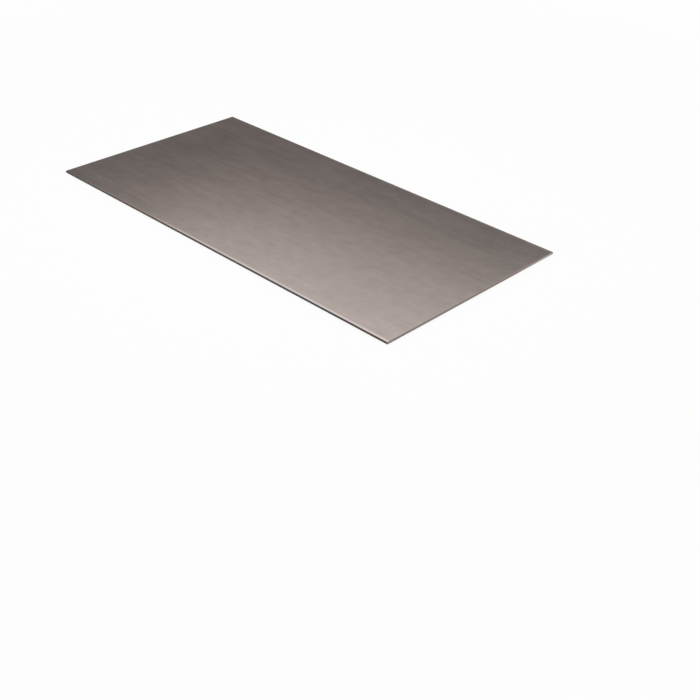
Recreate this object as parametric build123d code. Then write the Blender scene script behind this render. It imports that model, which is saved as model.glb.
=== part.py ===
from build123d import *
import os

# A flat rectangular sheet of mild steel, sheared to size on all four sides, lying on its lower face.
# It is one rolled piece. Its long side runs along X, the rolling direction, and its thickness along Z.
# The origin is the centre of the lower face.
#
# Every side has the section that a shear leaves. From the top face down that is a rolled-over corner,
# an upright land that the blade rubbed smooth, a torn zone that leans in towards the foot, and a small
# flat where the burr was filed off. The sections meet in a mitre at each corner.

# The sheet, in millimetres
LENGTH = 609.6  # 24 in, along the rolling direction
WIDTH = 304.8  # 12 in
THICKNESS = 3.175  # 1/8 in

# The sheared side, from the top face down
ROLLOVER_WIDTH = 0.9  # how far in from the side the top face starts to bend down
ROLLOVER_DEPTH = 0.4  # how far the bend reaches down the side
LAND_HEIGHT = 0.95  # height of the upright band that the blade rubbed smooth
BLADE_CLEARANCE = 0.2  # gap between the two blades, by which the torn zone leans in
BURR_FLAT = 0.15  # height and width of the flat filed along the foot


def sheared_section(span):
    """The section across a strip of the given span, sheared along both sides and standing on Y = 0."""
    side = span / 2
    land_top = THICKNESS - ROLLOVER_DEPTH
    land_foot = land_top - LAND_HEIGHT
    foot = side - BLADE_CLEARANCE
    with BuildSketch() as section:
        with BuildLine():
            rollover = EllipticalCenterArc(
                (side - ROLLOVER_WIDTH, land_top), ROLLOVER_WIDTH, ROLLOVER_DEPTH, arc_size=90
            )
            Polyline(rollover @ 0, (side, land_foot), (foot, BURR_FLAT), (foot - BURR_FLAT, 0), (0, 0))
            Line(rollover @ 1, (0, THICKNESS))
            mirror(about=Plane.YZ)
        make_face()
    return section.sketch


def sheared_sheet():
    """The sheet: what a strip sheared to width and a strip sheared to length have in common."""
    sheared_to_width = extrude(Plane.YZ * sheared_section(WIDTH), amount=LENGTH / 2, both=True)
    sheared_to_length = extrude(Plane.XZ * sheared_section(LENGTH), amount=WIDTH / 2, both=True)
    return sheared_to_width & sheared_to_length


os.makedirs("parts", exist_ok=True)
export_step(sheared_sheet(), "parts/steel_sheet.step")
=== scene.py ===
"""A sheet of plain mild steel, sheared on all four sides, lying on a pale floor in a studio.

The sheet's body is made by Geometry Nodes from its stock size and the section that a shear leaves. Its
rolled faces and its cut sides each have a finish of their own. X is the rolling direction, Z is up, and
the origin is the centre of the lower face. Lengths are in metres.
"""

import math
from types import SimpleNamespace
from typing import NamedTuple

import bpy
from mathutils import Matrix, Vector


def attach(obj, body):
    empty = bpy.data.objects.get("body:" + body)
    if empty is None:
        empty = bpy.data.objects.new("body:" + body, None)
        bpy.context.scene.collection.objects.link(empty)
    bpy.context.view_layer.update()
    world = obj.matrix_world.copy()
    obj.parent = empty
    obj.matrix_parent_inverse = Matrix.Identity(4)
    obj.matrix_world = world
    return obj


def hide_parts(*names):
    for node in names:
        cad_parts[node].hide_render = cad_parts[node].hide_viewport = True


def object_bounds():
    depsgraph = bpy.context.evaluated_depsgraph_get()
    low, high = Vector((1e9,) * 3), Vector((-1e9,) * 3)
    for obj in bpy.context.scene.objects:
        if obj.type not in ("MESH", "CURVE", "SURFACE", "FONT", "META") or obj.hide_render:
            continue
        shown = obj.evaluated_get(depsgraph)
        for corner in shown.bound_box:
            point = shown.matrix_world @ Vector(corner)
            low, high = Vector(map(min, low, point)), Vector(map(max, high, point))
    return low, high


bl_info = {
    "name": "Sheared Steel Sheet",
    "version": (1, 0, 0),
    "blender": (4, 5, 0),
    "location": "3D View > Sidebar > Steel Sheet",
    "description": "Makes a flat sheet of mill finish steel with sheared sides, and a studio to show it in",
    "category": "Object",
}

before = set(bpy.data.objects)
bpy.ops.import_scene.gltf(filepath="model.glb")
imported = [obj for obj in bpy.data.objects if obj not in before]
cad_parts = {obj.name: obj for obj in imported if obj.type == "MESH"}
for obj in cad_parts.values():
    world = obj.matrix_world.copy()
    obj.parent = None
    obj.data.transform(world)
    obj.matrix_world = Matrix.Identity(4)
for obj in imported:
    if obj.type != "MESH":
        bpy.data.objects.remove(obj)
cad_low, cad_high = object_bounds()
CAD_SIZE = cad_high - cad_low

MM = 0.001
SHEET_NODE = "steel_sheet"


# Node trees


class Wire:
    """An output socket of a node tree. Arithmetic on it adds Math nodes and gives a new wire."""

    def __init__(self, tree, socket):
        self.tree = tree
        self.socket = socket

    def math(self, operation, *others, clamp=False):
        settings = {"operation": operation, "use_clamp": clamp}
        return self.tree.add("ShaderNodeMath", settings, self, *others)

    def __add__(self, other):
        return self.math("ADD", other)

    __radd__ = __add__

    def __sub__(self, other):
        return self.math("SUBTRACT", other)

    def __rsub__(self, other):
        return self.math("MULTIPLY_ADD", -1.0, other)

    def __mul__(self, other):
        return self.math("MULTIPLY", other)

    __rmul__ = __mul__

    def __truediv__(self, other):
        return self.math("DIVIDE", other)

    def __neg__(self):
        return self.math("MULTIPLY", -1.0)

    def __abs__(self):
        return self.math("ABSOLUTE")

    def __gt__(self, other):
        return self.math("GREATER_THAN", other)

    def __lt__(self, other):
        return self.math("LESS_THAN", other)

    def clamped(self):
        return self.math("ADD", 0.0, clamp=True)

    def larger(self, other):
        return self.math("MAXIMUM", other)

    def rounded(self):
        return self.math("ROUND")

    def root(self):
        return self.math("SQRT")

    def sine(self):
        return self.math("SINE")

    def cosine(self):
        return self.math("COSINE")

    def ramp(self, start, end, low=0.0, high=1.0):
        """Runs smoothly from low, where this wire is at start, to high, where it is at end."""
        settings = {"interpolation_type": "SMOOTHSTEP"}
        return self.tree.add("ShaderNodeMapRange", settings, self, start, end, low, high)

    def parts(self):
        """The X, Y and Z wires of a vector."""
        outputs = self.tree.place("ShaderNodeSeparateXYZ", {}, [self]).outputs
        return [Wire(self.tree, output) for output in outputs]


class Tree:
    """A node tree and the one method that adds every kind of node to it."""

    def __init__(self, nodes_and_links):
        self.nodes = nodes_and_links.nodes
        self.links = nodes_and_links.links

    def place(self, kind, settings, inputs):
        """Adds a node and sets its settings, then its sockets, given in order, by name or by number."""
        node = self.nodes.new(kind)
        for name, value in settings.items():
            setattr(node, name, value)
        named = inputs.items() if isinstance(inputs, dict) else enumerate(inputs)
        for key, value in named:
            if isinstance(value, Wire):
                self.links.new(value.socket, node.inputs[key])
            else:
                node.inputs[key].default_value = value
        return node

    def add(self, kind, settings, *inputs, output=0, **named):
        """Adds a node and gives the wire of one output."""
        node = self.place(kind, settings, named or inputs)
        return Wire(self, node.outputs[output])

    def vector(self, x, y, z):
        return self.add("ShaderNodeCombineXYZ", {}, x, y, z)

    def mix_colour(self, factor, one, other):
        """The one colour where the factor is 0, and the other where it is 1."""
        # A Mix node has sockets for each kind of value. These are its factor and its colours
        node = self.place("ShaderNodeMix", {"data_type": "RGBA"}, {0: factor, 6: one, 7: other})
        return Wire(self, node.outputs[2])

    def noise(self, place, detail=2.0, roughness=0.5, seed=0.0):
        """Fractal noise from 0 to 1 at a place given in cells."""
        node = self.place("ShaderNodeTexNoise", {"noise_dimensions": "4D"}, {
            "Vector": place, "W": seed, "Scale": 1.0, "Detail": detail, "Roughness": roughness,
        })
        return Wire(self, node.outputs[0])


def new_tree(owner):
    """The empty node tree of a material or world."""
    owner.use_nodes = True
    owner.node_tree.nodes.clear()
    return Tree(owner.node_tree)


# Settings


class SheetSettings(bpy.types.PropertyGroup):
    """Sizes of the sheet and of its sheared sides."""

    length: bpy.props.FloatProperty(
        name="Length", description="Long side, along the rolling direction",
        default=CAD_SIZE.x, unit="LENGTH",
    )
    width: bpy.props.FloatProperty(
        name="Width", description="Short side, across the rolling direction",
        default=CAD_SIZE.y, unit="LENGTH",
    )
    thickness: bpy.props.FloatProperty(
        name="Thickness", description="Stock thickness", default=CAD_SIZE.z, unit="LENGTH", precision=5
    )
    rollover_width: bpy.props.FloatProperty(
        name="Rollover Width", description="How far in from the side the top face starts to bend down",
        default=0.9 * MM, unit="LENGTH", precision=5,
    )
    rollover_depth: bpy.props.FloatProperty(
        name="Rollover Depth", description="How far the bend reaches down the side",
        default=0.4 * MM, unit="LENGTH", precision=5,
    )
    land_height: bpy.props.FloatProperty(
        name="Land Height", description="Height of the upright band that the blade rubbed smooth",
        default=0.95 * MM, unit="LENGTH", precision=5,
    )
    blade_clearance: bpy.props.FloatProperty(
        name="Blade Clearance", description="How far the torn zone leans in",
        default=0.2 * MM, unit="LENGTH", precision=5,
    )
    burr_flat: bpy.props.FloatProperty(
        name="Burr Flat", description="Height and width of the flat filed along the foot",
        default=0.15 * MM, unit="LENGTH", precision=5,
    )
    wave_depth: bpy.props.FloatProperty(
        name="Wave Depth", description="How far the rolled face dips between the high places",
        default=0.05 * MM, unit="LENGTH", precision=5,
    )
    cell: bpy.props.FloatProperty(
        name="Cell", description="Size of a face of the mesh", default=2.54 * MM, unit="LENGTH", precision=5
    )
    seed: bpy.props.IntProperty(name="Seed", description="Picks the pattern of the waves", default=7)


class FinishSettings(bpy.types.PropertyGroup):
    """Colours and gloss of the steel."""

    steel: bpy.props.FloatVectorProperty(
        name="Steel", description="Colour of the rolled faces", subtype="COLOR", size=4,
        min=0.0, max=1.0, default=(0.50, 0.442, 0.413, 1.0),
    )
    stain: bpy.props.FloatVectorProperty(
        name="Stain", description="Colour of the darker clouds and streaks in the rolled faces",
        subtype="COLOR", size=4, min=0.0, max=1.0, default=(0.40, 0.349, 0.322, 1.0),
    )
    # Painted highlight: this colour brightens the rims of the long sides and the ends near +Y, where the
    # edges catch the light
    rubbed: bpy.props.FloatVectorProperty(
        name="Rubbed", description="Colour where the rims are rubbed bare and the ends burnished",
        subtype="COLOR", size=4, min=0.0, max=1.0, default=(0.62, 0.56, 0.53, 1.0),
    )
    edge_tint: bpy.props.FloatVectorProperty(
        name="Edge Tint", description="What the film of oil leaves of the light at a glancing angle",
        subtype="COLOR", size=4, min=0.0, max=1.0, default=(1.0, 0.87, 0.85, 1.0),
    )
    cut: bpy.props.FloatVectorProperty(
        name="Cut", description="Colour of the band that the blade rubbed smooth", subtype="COLOR",
        size=4, min=0.0, max=1.0, default=(0.31, 0.270, 0.252, 1.0),
    )
    tear: bpy.props.FloatVectorProperty(
        name="Tear", description="Colour of the torn zone", subtype="COLOR",
        size=4, min=0.0, max=1.0, default=(0.21, 0.179, 0.165, 1.0),
    )
    # Painted shade: makes the long sides darker than the ends
    tarnish: bpy.props.FloatProperty(
        name="Tarnish", description="How much darker the long sides are than the later cut ends",
        subtype="FACTOR", min=0.0, max=1.0, default=0.72,
    )
    face_roughness: bpy.props.FloatProperty(
        name="Face Roughness", description="Roughness of the rolled faces", subtype="FACTOR",
        min=0.0, max=1.0, default=0.20,
    )


class StageSettings(bpy.types.PropertyGroup):
    """The camera's place, the floor and the light."""

    azimuth: bpy.props.FloatProperty(
        name="Azimuth", description="Turn of the view round the sheet, from looking along +Y",
        subtype="ANGLE", default=math.radians(43.27),
    )
    elevation: bpy.props.FloatProperty(
        name="Elevation", description="How steeply the camera looks down", subtype="ANGLE",
        default=math.radians(32.96),
    )
    roll: bpy.props.FloatProperty(
        name="Roll", description="Turn of the camera about its line of sight", subtype="ANGLE",
        default=math.radians(1.85),
    )
    aim: bpy.props.FloatVectorProperty(
        name="Aim", description="Where the line of sight meets the plane of the top face",
        subtype="TRANSLATION", default=(0.2876, -0.1929, CAD_SIZE.z),
    )
    distance: bpy.props.FloatProperty(
        name="Distance", description="From the camera to where it aims", default=1.2061, unit="LENGTH"
    )
    lens: bpy.props.FloatProperty(
        name="Lens", description="Focal length on a 36 mm wide sensor", default=58.05, unit="CAMERA"
    )
    floor_colour: bpy.props.FloatVectorProperty(
        name="Floor", description="Colour of the floor", subtype="COLOR", size=4, min=0.0, max=1.0,
        default=(0.94, 0.94, 0.94, 1.0),
    )
    wall_level: bpy.props.FloatProperty(
        name="Wall Level", description="Brightness of the studio's upper walls and ceiling", min=0.0,
        default=0.20,
    )
    horizon_top: bpy.props.FloatProperty(
        name="Horizon Top", description="Up to this elevation the studio's walls are white",
        subtype="ANGLE", default=math.radians(13.0),
    )
    wall_foot: bpy.props.FloatProperty(
        name="Wall Foot", description="From this elevation on the studio's walls are dim", subtype="ANGLE",
        default=math.radians(19.5),
    )
    softbox_length: bpy.props.FloatProperty(
        name="Softbox Length", description="Length of the overhead softbox, along X",
        default=4.08, unit="LENGTH",
    )
    softbox_width: bpy.props.FloatProperty(
        name="Softbox Width", description="Width of the overhead softbox, along Y",
        default=4.57, unit="LENGTH",
    )
    softbox_height: bpy.props.FloatProperty(
        name="Softbox Height", description="How high the overhead softbox hangs", default=1.0, unit="LENGTH"
    )
    softbox_turn: bpy.props.FloatProperty(
        name="Softbox Turn", description="Turn of the overhead softbox about Z", subtype="ANGLE",
        default=math.radians(10.7),
    )
    softbox_fade: bpy.props.FloatVectorProperty(
        name="Softbox Fade", description="How far in from its ends and sides the softbox grows brighter",
        size=2, subtype="XYZ_LENGTH", default=(0.95, 1.56),
    )
    softbox_level: bpy.props.FloatProperty(
        name="Softbox Level", description="Brightness of the middle of the overhead softbox", min=0.0,
        default=1.26,
    )


# The sheet

# Rows of faces down each part of a sheared side
ARC_ROWS = 8
LAND_ROWS = 3
TORN_ROWS = 5
FILED_ROWS = 1

# The shallow waves of a rolled face
WAVE_LENGTH = 160 * MM
WAVE_WIDTH = 50 * MM
WAVE_DETAIL = 1.5
WAVE_RANGE = (0.25, 0.75)  # the noise where the face stays high, and where it dips all the way

WELD_DISTANCE = 0.01 * MM


def rolled_face(tree, sizes, margin, columns, rows):
    """A flat grid that reaches to a margin from the sheet's sides."""
    length = sizes.length - 2 * margin
    width = sizes.width - 2 * margin
    return tree.add("GeometryNodeMeshGrid", {}, length, width, columns + 1, rows + 1)


def sheared_side(tree, sizes, half_span, reach, columns):
    """One sheared side that faces -Y: a grid bent to the section, mitred at both ends.

    The grid runs from -1 to 1 along the side, and by one for each row down it.
    """
    row_count = ARC_ROWS + LAND_ROWS + TORN_ROWS + FILED_ROWS
    grid = tree.add("GeometryNodeMeshGrid", {}, 2.0, float(row_count), columns + 1, row_count + 1)
    along, down, _ = tree.add("GeometryNodeInputPosition", {}).parts()
    row = row_count / 2 - down
    bend = (row / ARC_ROWS).clamped() * (math.pi / 2)
    land = ((row - ARC_ROWS) / LAND_ROWS).clamped()
    torn = ((row - (ARC_ROWS + LAND_ROWS)) / TORN_ROWS).clamped()
    filed = ((row - (ARC_ROWS + LAND_ROWS + TORN_ROWS)) / FILED_ROWS).clamped()
    torn_height = sizes.thickness - sizes.rollover_depth - sizes.land_height - sizes.burr_flat
    inset = (
        sizes.rollover_width * (1 - bend.sine())
        + sizes.blade_clearance * torn
        + sizes.burr_flat * filed
    )
    height = (
        sizes.thickness
        - sizes.rollover_depth * (1 - bend.cosine())
        - sizes.land_height * land
        - torn_height * torn
        - sizes.burr_flat * filed
    )
    place = tree.vector(along * (half_span - inset), inset - reach, height)
    return tree.add("GeometryNodeSetPosition", {}, Geometry=grid, Position=place)


def turned(tree, mesh, quarter_turns):
    """The mesh turned about Z."""
    rotation = (0.0, 0.0, quarter_turns * math.pi / 2)
    return tree.add("GeometryNodeTransform", {}, Geometry=mesh, Rotation=rotation)


def input_name(setting):
    """The name that a size has as an input of the node tree."""
    return setting.replace("_", " ").title()


def sheet_nodes(face_finish, side_finish):
    """The Geometry Nodes tree that makes the whole sheet from its sizes."""
    group = bpy.data.node_groups.new("sheared_sheet", "GeometryNodeTree")
    settings = list(SheetSettings.__annotations__)
    for setting in settings:
        group.interface.new_socket(input_name(setting), in_out="INPUT", socket_type="NodeSocketFloat")
    group.interface.new_socket("Sheet", in_out="OUTPUT", socket_type="NodeSocketGeometry")
    tree = Tree(group)
    inputs = tree.place("NodeGroupInput", {}, {}).outputs
    sizes = SimpleNamespace(**{setting: Wire(tree, inputs[input_name(setting)]) for setting in settings})

    half_length = sizes.length / 2
    half_width = sizes.width / 2
    columns = (sizes.length / sizes.cell).rounded()
    rows = (sizes.width / sizes.cell).rounded()

    long_side = sheared_side(tree, sizes, half_length, half_width, columns)
    short_side = sheared_side(tree, sizes, half_width, half_length, rows)
    top = rolled_face(tree, sizes, sizes.rollover_width, columns, rows)
    lift = tree.vector(0.0, 0.0, sizes.thickness)
    top = tree.add("GeometryNodeTransform", {}, Geometry=top, Translation=lift)
    bottom = rolled_face(tree, sizes, sizes.blade_clearance + sizes.burr_flat, columns, rows)
    bottom = tree.add("GeometryNodeFlipFaces", {}, bottom)

    joined = tree.place("GeometryNodeJoinGeometry", {}, {})
    far_side = turned(tree, long_side, 2)
    ends = [turned(tree, short_side, 1), turned(tree, short_side, 3)]
    for mesh in (top, bottom, long_side, far_side, *ends):
        tree.links.new(mesh.socket, joined.inputs[0])
    joined = Wire(tree, joined.outputs[0])
    whole = tree.add("GeometryNodeMergeByDistance", {}, Geometry=joined, Distance=WELD_DISTANCE)

    x, y, z = tree.add("GeometryNodeInputPosition", {}).parts()
    cells = tree.vector(x / WAVE_LENGTH, y / WAVE_WIDTH, 0.0)
    waves = tree.noise(cells, detail=WAVE_DETAIL, seed=sizes.seed)
    dip = waves.ramp(*WAVE_RANGE) * sizes.wave_depth * (z / sizes.thickness)
    whole = tree.add("GeometryNodeSetPosition", {}, Geometry=whole, Offset=tree.vector(0.0, 0.0, -dip))
    whole = tree.add("GeometryNodeSetShadeSmooth", {}, Geometry=whole, **{"Shade Smooth": True})
    whole = tree.add("GeometryNodeRealizeInstances", {}, whole)
    whole = tree.add("GeometryNodeSetMaterial", {}, Geometry=whole, Material=face_finish)
    below_rollover = z < sizes.thickness - sizes.rollover_depth - sizes.wave_depth
    outside = (abs(x) > half_length - sizes.rollover_width).larger(
        abs(y) > half_width - sizes.rollover_width
    )
    whole = tree.add(
        "GeometryNodeSetMaterial", {}, Geometry=whole,
        Selection=below_rollover * outside, Material=side_finish,
    )
    tree.place("NodeGroupOutput", {}, [whole])
    return group


def baked_mesh(name, group, settings):
    """A new object with the mesh that the node tree makes from the settings, and no modifier left on it."""
    piece = bpy.data.objects.new(name, bpy.data.meshes.new(name))
    bpy.context.scene.collection.objects.link(piece)
    modifier = piece.modifiers.new("nodes", "NODES")
    modifier.node_group = group
    identifiers = {item.name: item.identifier for item in group.interface.items_tree}
    for setting in settings.__annotations__:
        modifier[identifiers[input_name(setting)]] = float(getattr(settings, setting))
    evaluated = piece.evaluated_get(bpy.context.evaluated_depsgraph_get())
    mesh = bpy.data.meshes.new_from_object(evaluated)
    piece.modifiers.remove(modifier)
    piece.data = mesh
    mesh.name = name
    return piece


# Finishes


class Mark(NamedTuple):
    """One kind of mark in steel: its size along X, Y and Z, how strongly it shows, and its noise."""

    size: tuple
    contrast: float
    detail: float = 2.0
    roughness: float = 0.5
    seed: float = 0.0


EVEN = 0.5  # what noise gives on average
BLACK = (0.0, 0.0, 0.0, 1.0)
WHITE = (1.0, 1.0, 1.0, 1.0)

# Marks of the mill, most of them drawn out along X
CLOUDS = Mark(size=(90 * MM, 50 * MM, 50 * MM), contrast=0.5, seed=11.0)
STREAKS = Mark(size=(80 * MM, 6 * MM, 50 * MM), contrast=0.65, seed=2.0)
BLOTCHES = Mark(size=(18 * MM, 15 * MM, 50 * MM), contrast=1.3, detail=4.0, roughness=0.6, seed=3.0)
GRAIN = Mark(size=(16 * MM, 0.8 * MM, 0.8 * MM), contrast=0.4, seed=4.0)
DULL_CHANGE = 0.03  # how far clouds and streaks change the roughness
GRAIN_RELIEF = 0.6
STREAK_RELIEF = 0.4
MILL_BUMP = 0.15
MILL_RELIEF = 0.02 * MM

# The spot of oil on the upper face
SPOT_X = 34 * MM
SPOT_Y = -33 * MM
SPOT_RADIUS = 9 * MM
SPOT_CORE = 3 * MM  # radius within which it is darkest
SPOT_DARKNESS = 0.3

# Painted highlight on the rims of the long sides, which fades out towards the end at -X
RIM_START = 3.8 * MM  # how far in from the rollover the rim starts to show
RIM_FULL = 1.4 * MM  # how far in it shows fully
RIM_HIGHLIGHT_FROM = -130 * MM  # along X
RIM_HIGHLIGHT_FULL = -60 * MM

# Painted shade: a dark line where the face turns down
TURN_WIDTH = 0.3 * MM
TURN_DEPTH = 0.12 * MM

# Marks of the shear
SCORING = Mark(size=(0.9 * MM, 0.9 * MM, 6 * MM), contrast=0.4, seed=5.0)
TEARING = Mark(size=(0.6 * MM, 0.6 * MM, 1.2 * MM), contrast=0.9, detail=4.0, roughness=0.7, seed=6.0)
SCORING_RELIEF = 0.3  # of the tearing's
SHEAR_BUMP = 0.5
SHEAR_RELIEF = 0.1 * MM

# The border between the land and the torn zone, which wanders up and down
WANDER_LENGTH = 12 * MM
WANDER_HEIGHT = 0.5 * MM
WANDER_SEED = 7.0
BORDER_BLUR = 0.1 * MM

# Painted highlight on the cut of the ends, which is brighter towards the corners at +Y
END_HIGHLIGHT_FROM = 50 * MM  # along Y
END_HIGHLIGHT_FULL = 150 * MM
END_HIGHLIGHT_SHARE = 0.55

LAND_ROUGHNESS = 0.34
TORN_ROUGHNESS = 0.56
SCORING_ROUGHNESS = 0.1  # how far the scoring changes it


def drawn(tree, place, mark):
    """The noise of a mark at a place, which is given by its X, Y and Z wires."""
    cells = tree.vector(*(wire / length for wire, length in zip(place, mark.size)))
    return tree.noise(cells, mark.detail, mark.roughness, mark.seed)


def add_steel(tree, finish, colour, roughness, normal):
    """Ends a material's tree in bare steel."""
    shader = tree.add("ShaderNodeBsdfPrincipled", {}, **{
        "Base Color": colour,
        "Metallic": 1.0,
        "Roughness": roughness,
        "Normal": normal,
        "Specular Tint": tuple(finish.edge_tint),
    })
    tree.place("ShaderNodeOutputMaterial", {}, [shader])


def mill_finish(finish, sheet):
    """Rolled steel: clouds and streaks drawn out along X, small blotches, a fine grain and a spot of oil.

    The rims of the long sides carry a painted highlight, and painted shade darkens the face where it turns
    down.
    """
    material = bpy.data.materials.new("mill_finish")
    tree = new_tree(material)
    x, y, z = place = tree.add("ShaderNodeTexCoord", {}, output="Object").parts()
    clouds = drawn(tree, place, CLOUDS)
    streaks = drawn(tree, place, STREAKS)
    blotches = drawn(tree, place, BLOTCHES)
    grain = drawn(tree, place, GRAIN)

    spot_x = x - SPOT_X
    spot_y = y - SPOT_Y
    from_spot = (spot_x * spot_x + spot_y * spot_y).root()
    oil_spot = from_spot.ramp(SPOT_RADIUS, SPOT_CORE) * z.ramp(0.0, sheet.thickness)
    shade = (
        EVEN
        + (clouds - EVEN) * CLOUDS.contrast
        + (streaks - EVEN) * STREAKS.contrast
        + (blotches - EVEN) * BLOTCHES.contrast
        + (grain - EVEN) * GRAIN.contrast
        - oil_spot * SPOT_DARKNESS
    )
    past_end = abs(x) - (sheet.length / 2 - sheet.rollover_width)
    past_side = abs(y) - (sheet.width / 2 - sheet.rollover_width)
    # Painted highlight: the rims of the long sides are made lighter, fading out towards -X
    rubbed = past_side.ramp(-RIM_START, -RIM_FULL) * x.ramp(RIM_HIGHLIGHT_FROM, RIM_HIGHLIGHT_FULL)
    # Painted shade: the face is darkened where it turns down over the sides
    painted_edge_shade = (
        past_end.larger(past_side).ramp(0.0, TURN_WIDTH)
        * z.ramp(sheet.thickness, sheet.thickness - TURN_DEPTH)
    )
    colour = tree.mix_colour(shade.clamped(), tuple(finish.stain), tuple(finish.steel))
    colour = tree.mix_colour(rubbed, colour, tuple(finish.rubbed))
    colour = tree.mix_colour(painted_edge_shade, colour, tuple(finish.tear))
    roughness = (
        finish.face_roughness
        + (streaks - EVEN) * DULL_CHANGE
        + (clouds - EVEN) * DULL_CHANGE
    )
    relief = grain * GRAIN_RELIEF + streaks * STREAK_RELIEF
    bump = tree.add("ShaderNodeBump", {}, Strength=MILL_BUMP, Distance=MILL_RELIEF, Height=relief)
    add_steel(tree, finish, colour, roughness, bump)
    return material


def sheared_finish(finish, sheet):
    """The cut: a rubbed land with upright scoring over a dull, torn zone.

    Painted shade darkens the long sides, and a painted highlight brightens the ends towards their corners
    at +Y.
    """
    material = bpy.data.materials.new("sheared_side")
    tree = new_tree(material)
    x, y, z = place = tree.add("ShaderNodeTexCoord", {}, output="Object").parts()
    scoring = drawn(tree, place, SCORING)
    tearing = drawn(tree, place, TEARING)
    wander = tree.noise(tree.vector(x / WANDER_LENGTH, y / WANDER_LENGTH, 0.0), seed=WANDER_SEED)

    land_foot = sheet.thickness - sheet.rollover_depth - sheet.land_height
    height = z + (wander - EVEN) * WANDER_HEIGHT
    torn = height.ramp(land_foot + BORDER_BLUR, land_foot - BORDER_BLUR)
    on_long_side = abs(x) < sheet.length / 2 - sheet.rollover_width
    # Painted highlight: the ends are made lighter towards their corners at +Y
    painted_end_highlight = (1 - on_long_side) * y.ramp(END_HIGHLIGHT_FROM, END_HIGHLIGHT_FULL, 0.0, END_HIGHLIGHT_SHARE)
    bare = tree.mix_colour(torn, tuple(finish.cut), tuple(finish.tear))
    bare = tree.mix_colour(painted_end_highlight, bare, tuple(finish.rubbed))
    # Painted shade darkens the long sides; the scoring and tearing are the cut's own marks
    painted_shade_and_cut_marks = (
        on_long_side * finish.tarnish
        + (EVEN - scoring) * (1 - torn) * SCORING.contrast
        + (EVEN - tearing) * torn * TEARING.contrast
    )
    colour = tree.mix_colour(painted_shade_and_cut_marks.clamped(), bare, BLACK)
    roughness = (
        LAND_ROUGHNESS
        + torn * (TORN_ROUGHNESS - LAND_ROUGHNESS)
        + (scoring - EVEN) * SCORING_ROUGHNESS
    )
    relief = scoring * (1 - torn) * SCORING_RELIEF + tearing * torn
    bump = tree.add("ShaderNodeBump", {}, Strength=SHEAR_BUMP, Distance=SHEAR_RELIEF, Height=relief)
    add_steel(tree, finish, colour, roughness, bump)
    return material


# The studio

FLOOR_REACH = 40.0  # past every view's horizon
SHADOW_NEAR = 0.3  # how far from the sheet's middle the floor starts to turn plain white
SHADOW_END = 1.5  # how far from it no shadow shows
WHITE_NEAR = 0.8  # share of plain white beside the sheet, where the rest of the floor shows shadow
SENSOR_WIDTH = 36.0  # in millimetres, as a camera has it


def seen_directly(tree):
    """1 where the camera looks, in metal and through glass too, and 0 for light on other surfaces."""
    rays = tree.place("ShaderNodeLightPath", {}, {}).outputs
    camera, glossy, transmitted = (
        Wire(tree, rays[name]) for name in ("Is Camera Ray", "Is Glossy Ray", "Is Transmission Ray")
    )
    return camera.larger(glossy).larger(transmitted)


def floor_finish(colour):
    """A pale matt floor. Away from the sheet it turns to plain white where it is seen directly."""
    material = bpy.data.materials.new("pale_floor")
    tree = new_tree(material)
    x, y, _ = tree.add("ShaderNodeTexCoord", {}, output="Object").parts()
    away = (x * x + y * y).root()
    white_share = away.ramp(SHADOW_NEAR, SHADOW_END, WHITE_NEAR, 1.0) * seen_directly(tree)
    matt = tree.add("ShaderNodeBsdfDiffuse", {}, tuple(colour))
    white = tree.add("ShaderNodeEmission", {}, WHITE, 1.0)
    shader = tree.add("ShaderNodeMixShader", {}, white_share, matt, white)
    tree.place("ShaderNodeOutputMaterial", {}, [shader])
    return material


def level_rectangle(name, half_length, half_width, height, faces_up):
    """A new object: one level face round the Z axis."""
    corners = [
        (-half_length, -half_width, height),
        (half_length, -half_width, height),
        (half_length, half_width, height),
        (-half_length, half_width, height),
    ]
    face = (0, 1, 2, 3) if faces_up else (3, 2, 1, 0)
    mesh = bpy.data.meshes.new(name)
    mesh.from_pydata(corners, [], [face])
    rectangle = bpy.data.objects.new(name, mesh)
    bpy.context.scene.collection.objects.link(rectangle)
    return rectangle


def make_floor(colour):
    """A flat floor that reaches past every view's horizon."""
    floor = level_rectangle("studio_floor", FLOOR_REACH, FLOOR_REACH, 0.0, faces_up=True)
    floor.data.materials.append(floor_finish(colour))


def lit_cloth(stage):
    """The softbox's cloth, which is brightest in its middle and fades out to its four sides."""
    material = bpy.data.materials.new("lit_cloth")
    tree = new_tree(material)
    x, y, _ = tree.add("ShaderNodeTexCoord", {}, output="Object").parts()
    half_length, half_width = stage.softbox_length / 2, stage.softbox_width / 2
    fade_x, fade_y = stage.softbox_fade
    level = (
        abs(x).ramp(half_length, half_length - fade_x)
        * abs(y).ramp(half_width, half_width - fade_y)
        * stage.softbox_level
    )
    cloth = tree.add("ShaderNodeEmission", {}, tree.vector(level, level, level), 1.0)
    tree.place("ShaderNodeOutputMaterial", {}, [cloth])
    # Light sampled from the cloth leaves bright specks in the steel
    material.cycles.emission_sampling = "NONE"
    return material


def make_softbox(stage):
    """A wide softbox that hangs level over the sheet."""
    softbox = level_rectangle(
        "overhead_softbox", stage.softbox_length / 2, stage.softbox_width / 2,
        stage.softbox_height, faces_up=False,
    )
    softbox.data.materials.append(lit_cloth(stage))
    softbox.rotation_euler.z = stage.softbox_turn
    softbox.visible_camera = False


def make_world(stage):
    """Studio walls that are white round the horizon and fade upwards to a dim ceiling."""
    world = bpy.data.worlds.new("studio_walls")
    bpy.context.scene.world = world
    tree = new_tree(world)
    _, _, up = tree.add("ShaderNodeTexCoord", {}, output="Generated").parts()
    wall = up.ramp(math.sin(stage.horizon_top), math.sin(stage.wall_foot), 1.0, stage.wall_level)
    walls = tree.add("ShaderNodeBackground", {}, Color=tree.vector(wall, wall, wall), Strength=1.0)
    tree.place("ShaderNodeOutputWorld", {}, [walls])


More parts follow.
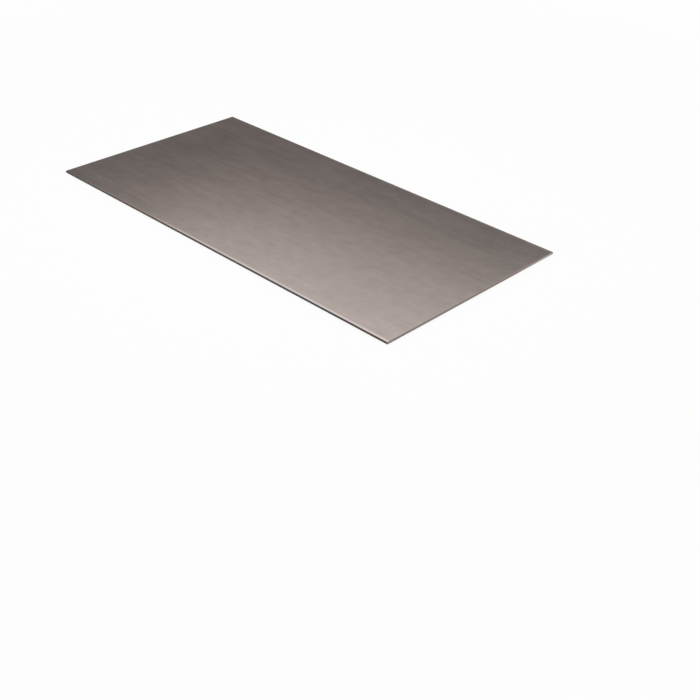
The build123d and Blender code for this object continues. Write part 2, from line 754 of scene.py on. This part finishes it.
def make_camera(stage):
    """The camera, aimed at a point in the plane of the top face."""
    azimuth, elevation = stage.azimuth, stage.elevation
    back = Vector((
        math.sin(azimuth) * math.cos(elevation),
        -math.cos(azimuth) * math.cos(elevation),
        math.sin(elevation),
    ))
    right = Vector((math.cos(azimuth), math.sin(azimuth), 0.0))
    turn = Matrix.Rotation(stage.roll, 3, "Z")
    axes = Matrix((right, back.cross(right), back)).transposed() @ turn
    data = bpy.data.cameras.new("camera")
    data.sensor_width = SENSOR_WIDTH
    data.lens = stage.lens
    camera = bpy.data.objects.new("camera", data)
    camera.matrix_world = Matrix.Translation(Vector(stage.aim) + back * stage.distance) @ axes.to_4x4()
    bpy.context.scene.collection.objects.link(camera)
    bpy.context.scene.camera = camera


# Operators


class SHEET_OT_make_sheet(bpy.types.Operator):
    """Make the sheet's body with its rolled faces and sheared sides"""

    bl_idname = "steel.make_sheet"
    bl_label = "Make Sheet"

    def execute(self, context):
        sheet = context.scene.steel_sheet_sizes
        finish = context.scene.steel_sheet_finish
        nodes = sheet_nodes(mill_finish(finish, sheet), sheared_finish(finish, sheet))
        piece = baked_mesh("rolled_sheet", nodes, sheet)
        if not piece.data.polygons:
            raise RuntimeError("the sheet's nodes made no faces")
        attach(piece, "root")
        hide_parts(SHEET_NODE)
        return {"FINISHED"}


class SHEET_OT_set_stage(bpy.types.Operator):
    """Lay the floor, hang the light and place the camera"""

    bl_idname = "steel.set_stage"
    bl_label = "Set Stage"

    def execute(self, context):
        stage = context.scene.steel_sheet_stage
        context.scene.view_settings.view_transform = "Standard"
        make_floor(stage.floor_colour)
        make_world(stage)
        make_softbox(stage)
        make_camera(stage)
        return {"FINISHED"}


class SHEET_PT_panel(bpy.types.Panel):
    """Sizes, finish and stage of the steel sheet"""

    bl_label = "Steel Sheet"
    bl_idname = "SHEET_PT_panel"
    bl_space_type = "VIEW_3D"
    bl_region_type = "UI"
    bl_category = "Steel Sheet"

    def draw(self, context):
        scene = context.scene
        for heading, settings, operator in (
            ("Sheet", scene.steel_sheet_sizes, SHEET_OT_make_sheet),
            ("Finish", scene.steel_sheet_finish, None),
            ("Stage", scene.steel_sheet_stage, SHEET_OT_set_stage),
        ):
            box = self.layout.box()
            box.label(text=heading)
            for name in settings.__annotations__:
                box.prop(settings, name)
            if operator:
                box.operator(operator.bl_idname)


CLASSES = (
    SheetSettings,
    FinishSettings,
    StageSettings,
    SHEET_OT_make_sheet,
    SHEET_OT_set_stage,
    SHEET_PT_panel,
)


def register():
    for cls in CLASSES:
        bpy.utils.register_class(cls)
    bpy.types.Scene.steel_sheet_sizes = bpy.props.PointerProperty(type=SheetSettings)
    bpy.types.Scene.steel_sheet_finish = bpy.props.PointerProperty(type=FinishSettings)
    bpy.types.Scene.steel_sheet_stage = bpy.props.PointerProperty(type=StageSettings)


def unregister():
    del bpy.types.Scene.steel_sheet_stage
    del bpy.types.Scene.steel_sheet_finish
    del bpy.types.Scene.steel_sheet_sizes
    for cls in reversed(CLASSES):
        bpy.utils.unregister_class(cls)


def main():
    """Makes everything in order."""
    register()
    bpy.ops.steel.set_stage()
    bpy.ops.steel.make_sheet()


if __name__ == "__main__":
    main()
